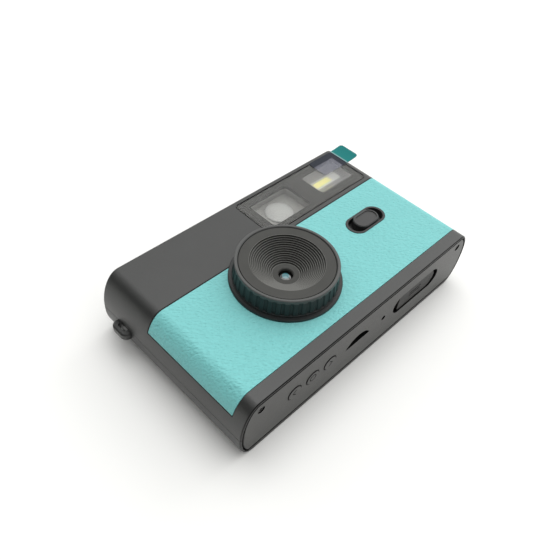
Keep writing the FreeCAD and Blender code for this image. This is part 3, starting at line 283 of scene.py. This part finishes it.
def add_node(made, kind, **settings):
    """Node of one kind; a setting is an input's value or else a property."""
    node = made.node_tree.nodes.new(kind)
    for key, value in settings.items():
        if key in node.inputs:
            node.inputs[key].default_value = value
        else:
            setattr(node, key, value)
    return node


def link(made, start, end):
    made.node_tree.links.new(start, end)


def feed(made, value, socket):
    """Links another node's output to a socket, or sets the socket to a plain value."""
    if isinstance(value, bpy.types.NodeSocket):
        link(made, value, socket)
    else:
        socket.default_value = value


def compute(made, operation, *values):
    """Arithmetic on outputs and plain numbers."""
    node = add_node(made, "ShaderNodeMath", operation=operation)
    for socket, value in zip(node.inputs, values):
        feed(made, value, socket)
    return node.outputs[0]


def compute_vector(made, operation, output, *values):
    """Arithmetic on vectors; output names the result that is wanted."""
    node = add_node(made, "ShaderNodeVectorMath", operation=operation)
    for socket, value in zip(node.inputs, values):
        feed(made, value, socket)
    return node.outputs[output]


def remap(made, value, limits, results, **settings):
    """Takes a value from between two limits to between two results."""
    node = add_node(made, "ShaderNodeMapRange", **settings)
    names = ("From Min", "From Max", "To Min", "To Max")
    for name, number in zip(names, (*limits, *results)):
        node.inputs[name].default_value = number
    link(made, value, node.inputs["Value"])
    return node.outputs["Result"]


def noise(made, place, scale, detail, **settings):
    node = add_node(made, "ShaderNodeTexNoise", Scale=scale, Detail=detail, **settings)
    link(made, place, node.inputs["Vector"])
    return node.outputs["Fac"]


def add_bump(made, height, distance, strength=1.0):
    bump = add_node(made, "ShaderNodeBump", Distance=distance, Strength=strength)
    link(made, height, bump.inputs["Height"])
    link(made, bump.outputs["Normal"], shader_of(made).inputs["Normal"])


def mix_colours(made, share, first, second):
    """Goes from the first colour to the second as the share goes from nought to one."""
    mix = add_node(made, "ShaderNodeMix", data_type="RGBA")
    colours = [socket for socket in mix.inputs if socket.type == "RGBA"]
    feed(made, first, colours[0])
    feed(made, second, colours[1])
    link(made, share, [socket for socket in mix.inputs if socket.type == "VALUE"][0])
    return [socket for socket in mix.outputs if socket.type == "RGBA"][0]


def swing_tone(made, share, base, swing, limits):
    """Makes a base tone darker and lighter by a swing, as the share goes between two limits."""
    ramp = add_node(made, "ShaderNodeValToRGB")
    stops = zip(ramp.color_ramp.elements, limits, (1 - swing, 1 + swing))
    for stop, position, factor in stops:
        stop.position = position
        stop.color = colour(*(channel * factor for channel in base[:3]))
    link(made, share, ramp.inputs["Fac"])
    link(made, ramp.outputs["Color"], shader_of(made).inputs["Base Color"])


# Where on a piece a finish changes

def object_coordinates(made):
    return add_node(made, "ShaderNodeTexCoord").outputs["Object"]


def along_axis(made, vector, axis):
    split = add_node(made, "ShaderNodeSeparateXYZ")
    link(made, vector, split.inputs[0])
    return split.outputs[axis]


def coordinate(made, axis):
    return along_axis(made, object_coordinates(made), axis)


def from_axis(made, middle):
    """Distance from the line along Z through a point."""
    away = compute_vector(made, "SUBTRACT", "Vector", object_coordinates(made), middle)
    level = compute_vector(made, "MULTIPLY", "Vector", away, (1.0, 1.0, 0.0))
    return compute_vector(made, "LENGTH", "Value", level)


def step_between(made, value, low, high):
    """One between two limits of a value, and nought outside them."""
    above = compute(made, "GREATER_THAN", value, low)
    below = compute(made, "LESS_THAN", value, high)
    return compute(made, "MULTIPLY", above, below)


def in_rectangle(made, low, high, inset=0.0):
    """One inside a box seen from the front, less an inset on each side, and nought outside it."""
    steps = [
        step_between(made, coordinate(made, axis), low[index] + inset, high[index] - inset)
        for index, axis in enumerate("XY")
    ]
    return compute(made, "MULTIPLY", *steps)


def border(made, name, width):
    """One along the edge of a flat piece seen from the front, and nought inside it."""
    low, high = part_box(name)
    return compute(made, "SUBTRACT", 1.0, in_rectangle(made, low, high, width))


# Finishes

def add_grain(made, grain, depth, roughness_swing=usual_swing, tone_swing=usual_swing):
    """Fine noise in the surface's height, gloss and tone; grain is its size in metres."""
    shader = shader_of(made)
    place = object_coordinates(made)
    fine = noise(made, place, 1.0 / grain, grain_detail)
    add_bump(made, fine, depth)
    middle = shader.inputs["Roughness"].default_value
    swings = (middle - roughness_swing, middle + roughness_swing)
    link(made, remap(made, fine, (0.0, 1.0), swings), shader.inputs["Roughness"])
    broad = noise(made, place, 1.0 / (grain * patch_ratio), patch_detail)
    base = shader.inputs["Base Color"].default_value[:]
    swing_tone(made, broad, base, tone_swing, patch_limits)
    return made


def second_tone(made, share, tone):
    """Mixes a second tone into the base colour, by a share that varies over the piece."""
    base = shader_of(made).inputs["Base Color"]
    link(made, mix_colours(made, share, base.links[0].from_socket, tone), base)


def paint_groove_shade(made, share):
    """Paints shade: takes tone and gloss away, as the shade in a narrow gap does."""
    second_tone(made, share, painted_shade_tone)
    gloss = mix_colours(made, share, no_tint, painted_shade_gloss)
    link(made, gloss, shader_of(made).inputs["Specular Tint"])


def shell_plastic():
    """Satin black plastic, with painted shade along the rim round the bottom plate."""
    made = material("shell_plastic", shell_tone, 0.40, Specular_IOR_Level=0.68)
    add_grain(made, 0.35 * MM, 0.04 * MM)
    low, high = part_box("front_shell")
    # painted shade within rim_depth of the shell's lowest Y, in the gap round the bottom plate
    paint_groove_shade(made, step_between(made, coordinate(made, "Y"), -no_limit, low.y + rim_depth))
    return made


def plate_plastic():
    """Satin black plastic, with painted shade on the chamfers and walls, where it turns away from
    Y.
    """
    made = material("plate_plastic", plate_tone, 0.38, Specular_IOR_Level=0.5)
    add_grain(made, 0.35 * MM, 0.04 * MM)
    normal = add_node(made, "ShaderNodeTexCoord").outputs["Normal"]
    # painted shade on faces that turn away from Y; on the keys and the shutter button it draws the
    # shaded ring round each
    paint_groove_shade(made, step_between(made, along_axis(made, normal, "Y"), -edge_turn, edge_turn))
    return made


def leatherette():
    """Turquoise skin with fine, shallow wrinkles, and painted shade of the gap round it on its
    upper edge and its two ends.
    """
    made = material("leatherette", leather_tone, 0.5, Specular_IOR_Level=0.35)
    place = object_coordinates(made)
    stretch = add_node(made, "ShaderNodeMapping", vector_type="TEXTURE", Scale=wrinkle_size)
    stretch.inputs["Rotation"].default_value = (0.0, 0.0, wrinkle_turn)
    link(made, place, stretch.inputs["Vector"])
    stretched = stretch.outputs["Vector"]
    wrinkles = noise(made, stretched, 1.0, wrinkle_detail, Roughness=0.5, Distortion=wrinkle_twist)
    pebbles = add_node(made, "ShaderNodeTexVoronoi", feature="SMOOTH_F1", Scale=1.0)
    pebbles.inputs["Smoothness"].default_value = pebble_softness
    link(made, stretched, pebbles.inputs["Vector"])
    height = compute(made, "SUBTRACT", wrinkles, pebbles.outputs["Distance"])
    add_bump(made, height, wrinkle_depth, wrinkle_strength)
    broad = noise(made, place, patches_per_metre, leather_patch_detail)
    swing_tone(made, broad, leather_tone, leather_swing, (0.0, 1.0))
    low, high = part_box("leatherette")
    # painted shade along the upper edge and the two ends
    upper_edge = step_between(made, coordinate(made, "Y"), high.y - leather_edge, no_limit)
    second_tone(made, upper_edge, painted_shade_tone)
    ends = step_between(made, coordinate(made, "Z"), -no_limit, low.z + leather_edge)
    second_tone(made, ends, painted_shade_tone)
    return made


def ring_plastic():
    """Nearly black plastic, with a painted highlight on the round lip at the top of the ring."""
    made = add_grain(material("ring_plastic", ring_tone, 0.5), 0.3 * MM, 0.03 * MM)
    low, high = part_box("lens_ring")
    lip = step_between(made, coordinate(made, "Z"), high.z - lip_height, no_limit)
    # painted highlight on the lip
    second_tone(made, lip, painted_lip_highlight)
    return made


def cone_plastic():
    """Satin dark plastic whose cone has a painted highlight on the edge of every step."""
    made = material("baffle_plastic", cone_tone, 0.6, Specular_IOR_Level=0.1)
    add_grain(made, 0.3 * MM, 0.02 * MM)
    low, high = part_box("cone_baffle")
    radius = from_axis(made, (low + high) / 2)
    limits = (cone_floor_radius, cone_mouth_radius)
    steps = remap(made, radius, limits, (0.0, cone_steps), clamp=False)
    edge = step_between(made, compute(made, "FRACT", steps), 0.0, step_edge)
    inside = step_between(made, radius, cone_floor_radius, cone_mouth_radius + cone_slack)
    # painted highlight along each step's edge
    second_tone(made, compute(made, "MULTIPLY", edge, inside), painted_step_highlight)
    return made


def glass_with_painted_reflection(name, reflection_share):
    """Dark glass with the reflection of its coating painted as a cyan disc over a share of its
    radius, and painted shade outside it.
    """
    made = material("coated_" + name, painted_coating_reflection, 0.08, IOR=1.8)
    add_grain(made, 2.0 * MM, 0.0, roughness_swing=0.02)
    low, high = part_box(name)
    radius = from_axis(made, (low + high) / 2)
    rim_start = reflection_share * (high.x - low.x) / 2
    # painted shade outside the painted reflection
    second_tone(made, step_between(made, radius, rim_start, no_limit), painted_shade_tone)
    return made


def clear(name, tone, roughness, index, haze=0.0):
    """Clear plastic or glass with its refractive index."""
    made = material(name, tone, roughness, IOR=index, Transmission_Weight=1.0 - haze)
    return add_grain(made, 3.0 * MM, 0.0, roughness_swing=roughness * 0.1, tone_swing=0.01)


def finder_lens():
    """Objective with two round moulding steps on its front, hazier inside the first."""
    made = clear("finder_lens", lens_clear, 0.08, 1.5, lens_haze)
    low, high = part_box("finder_objective")
    radius = from_axis(made, (low + high) / 2)
    limits = (lens_steps[0] - lens_step_width, lens_steps[0])
    clearness = remap(made, radius, limits, (1.0 - middle_haze, 1.0 - lens_haze))
    link(made, clearness, shader_of(made).inputs["Transmission Weight"])
    rises = []
    for start in lens_steps:
        limits = (start, start + lens_step_width)
        rises.append(remap(made, radius, limits, (0.0, 1.0), interpolation_type="SMOOTHSTEP"))
    add_bump(made, compute(made, "ADD", *rises), lens_step_height)
    return made


def clear_panel():
    """Clear plastic with painted shade along its edge."""
    made = clear("clear_panel", panel_clear, 0.05, 1.33)
    # painted shade along the panel's edge
    paint_groove_shade(made, border(made, "window_panel", panel_border))
    return made


def tab_reflection_sheet():
    """Painted reflection of the raised tab, on a sheet: navy on the dark print and pale over the
    flash window below it.
    """
    made = material("blue_film", reflection_on_print_tone, 0.25, Specular_IOR_Level=0.3)
    low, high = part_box("flash_reflector")
    inside = in_rectangle(made, low, high)
    tone = mix_colours(made, inside, reflection_on_print_tone, reflection_on_window_tone)
    link(made, tone, shader_of(made).inputs["Base Color"])
    cover = remap(made, inside, (0.0, 1.0), (cover_on_print, cover_on_window))
    link(made, cover, shader_of(made).inputs["Alpha"])
    return made


def tab_film():
    """Teal film with a pale crease where it leaves the panel's end."""
    made = material("teal_film", teal_tone, 0.38, Specular_IOR_Level=0.15)
    add_grain(made, 2.0 * MM, 0.01 * MM, roughness_swing=0.04)
    low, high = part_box("pull_tab")
    crease = step_between(made, coordinate(made, "X"), low.x, low.x + crease_width)
    second_tone(made, crease, crease_tone)
    return made


def paint(made, *names):
    """Gives pieces of the frame their finish."""
    for name in names:
        node = frame["nodes"][name]
        node.data.materials.clear()
        node.data.materials.append(made)


def paint_all():
    for name, tone, roughness, grain, depth, settings, pieces in plain_finishes:
        made = material(name, tone, roughness, **settings)
        paint(add_grain(made, grain * MM, depth * MM), *pieces)
    paint(shell_plastic(), "front_shell", "back_cover", "top_plate")
    keys = ("key_button_left", "key_button_middle", "key_button_right")
    paint(plate_plastic(), "bottom_plate", "shutter_button", *keys)
    paint(leatherette(), "leatherette")
    paint(ring_plastic(), "lens_ring")
    paint(cone_plastic(), "cone_baffle")
    paint(glass_with_painted_reflection("front_glass", front_reflection_share), "front_glass")
    paint(glass_with_painted_reflection("rear_glass", rear_reflection_share), "rear_glass", "image_sensor")
    paint(finder_lens(), "finder_objective")
    paint(clear("finder_glass", lens_clear, 0.08, 1.5, eyepiece_haze), "finder_eyepiece")
    paint(clear("diffuser", diffuser_clear, 0.05, 1.35, diffuser_haze), "flash_diffuser")
    paint(clear_panel(), "window_panel")
    film = material("clear_film", film_tone, 0.15, Alpha=cover_of_film)
    add_grain(film, 3.0 * MM, 0.0, roughness_swing=0.05, tone_swing=0.01)
    paint(film, "protective_film")
    # the film_tail sheet carries the painted reflection of the tab
    paint(tab_reflection_sheet(), "film_tail")
    paint(tab_film(), "pull_tab")
    smoked = material("smoked_window", smoke_tone, 0.08, Alpha=0.75, Coat_Weight=1.0)
    add_grain(smoked, 2.0 * MM, 0.0, roughness_swing=0.02)
    paint(smoked, "counter_window")


# Own pieces: the key marks and the floor

def stroke(points, width, closed):
    """Pairs of points on both sides of a line through points in a plane."""
    sides = []
    for index, point in enumerate(points):
        before = points[index - 1] if closed or index else None
        after = points[(index + 1) % len(points)] if closed or index + 1 < len(points) else None
        steps = [(point - before).normalized()] if before else []
        steps += [(after - point).normalized()] if after else []
        along = sum(steps, Vector((0, 0))).normalized()
        across = Vector((-along.y, along.x)) * width / 2 / along.dot(steps[0])
        sides.append((point + across, point - across))
    return sides


def add_key_mark(key, points, closed=False):
    """Fine dark line on a key's face, through points given round its centre."""
    low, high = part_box(key)
    centre = (low + high) / 2
    corners = []
    for pair in stroke(points, mark_line, closed):
        corners += [(centre.x + corner.x, low.y, centre.z + corner.y) for corner in pair]
    count = len(points)
    faces = []
    for index in range(count if closed else count - 1):
        start, end = 2 * index, 2 * ((index + 1) % count)
        faces.append((start, start + 1, end + 1, end))
    mesh = bpy.data.meshes.new(key + "_mark")
    mesh.from_pydata(corners, [], faces)
    mark = bpy.data.objects.new(key + "_mark", mesh)
    bpy.context.scene.collection.objects.link(mark)
    solid = mark.modifiers.new("thickness", "SOLIDIFY")
    solid.thickness = mark_height
    solid.offset = 0.0
    ink = material(key + "_ink", ink_tone, 0.6, Specular_IOR_Level=0.1)
    mesh.materials.append(add_grain(ink, 0.4 * MM, 0.01 * MM))
    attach(mark, body_of(frame["nodes"][key])[0])


def add_key_marks():
    """An angle that points outwards on each outer key, and a ring on the middle one."""
    for key, side in (("key_button_left", -1), ("key_button_right", 1)):
        tip, end = side * angle_tip, -side * angle_end
        add_key_mark(key, [Vector((end, mark_size)), Vector((tip, 0)), Vector((end, -mark_size))])
    turns = [2 * math.pi * step / ring_corners for step in range(ring_corners)]
    ring = [Vector((math.cos(turn), math.sin(turn))) * mark_size for turn in turns]
    add_key_mark("key_button_middle", ring, closed=True)


def add_floor():
    """Plain floor under the back."""
    half = floor_size / 2
    corners = [(-half, -half, 0), (half, -half, 0), (half, half, 0), (-half, half, 0)]
    mesh = bpy.data.meshes.new("floor")
    mesh.from_pydata(corners, [], [(0, 1, 2, 3)])
    floor = bpy.data.objects.new("floor", mesh)
    floor.location.z = cad_box[0].z
    bpy.context.scene.collection.objects.link(floor)
    made = material("floor", floor_tone, 0.9)
    add_grain(made, 10 * MM, 0.0, roughness_swing=0.02, tone_swing=0.005)
    mesh.materials.append(made)


# Light and camera

def add_light(name, place, size, strength):
    """Round lamp that faces the frame's origin."""
    lamp = bpy.data.lights.new(name, "AREA")
    lamp.shape = "DISK"
    lamp.size = size
    lamp.energy = strength
    holder = bpy.data.objects.new(name, lamp)
    holder.location = place
    holder.rotation_mode = "QUATERNION"
    holder.rotation_quaternion = (-place).to_track_quat("-Z", "Y")
    bpy.context.scene.collection.objects.link(holder)


def add_sky():
    """Even sky that is brightest round one direction and dim opposite to it."""
    world = bpy.data.worlds.new("studio")
    world.use_nodes = True
    background = world.node_tree.nodes["Background"]
    background.inputs["Color"].default_value = sky_tone
    direction = add_node(world, "ShaderNodeTexCoord").outputs["Generated"]
    lean = compute_vector(world, "DOT_PRODUCT", "Value", direction, sky_lean)
    limits, results = (sky_start, sky_full), (sky_low, sky_high)
    strength = remap(world, lean, limits, results, interpolation_type="SMOOTHSTEP")
    link(world, strength, background.inputs["Strength"])
    bpy.context.scene.world = world


def add_camera():
    turn, lift, tilt = (math.radians(angle) for angle in (azimuth, elevation, roll))
    outward = math.cos(lift)
    back = Vector((math.sin(turn) * outward, -math.cos(turn) * outward, math.sin(lift)))
    level = Vector((math.cos(turn), math.sin(turn), 0))
    right = level * math.cos(tilt) + back.cross(level) * math.sin(tilt)
    up = back.cross(right)
    lens = bpy.data.cameras.new("camera")
    lens.lens = focal_length
    lens.sensor_width = sensor_width
    lens.clip_start = nearest_seen
    lens.clip_end = farthest_seen
    holder = bpy.data.objects.new("camera", lens)
    turned = Matrix((right, up, back)).transposed().to_4x4()
    holder.matrix_world = Matrix.Translation(target + back * distance) @ turned
    bpy.context.scene.collection.objects.link(holder)
    bpy.context.scene.camera = holder


paint_all()
add_key_marks()
add_floor()
add_sky()
add_light("key_light", key_place, key_size, key_strength)
add_light("side_light", side_place, side_size, side_strength)
add_camera()
bpy.context.scene.view_settings.view_transform = "Standard"
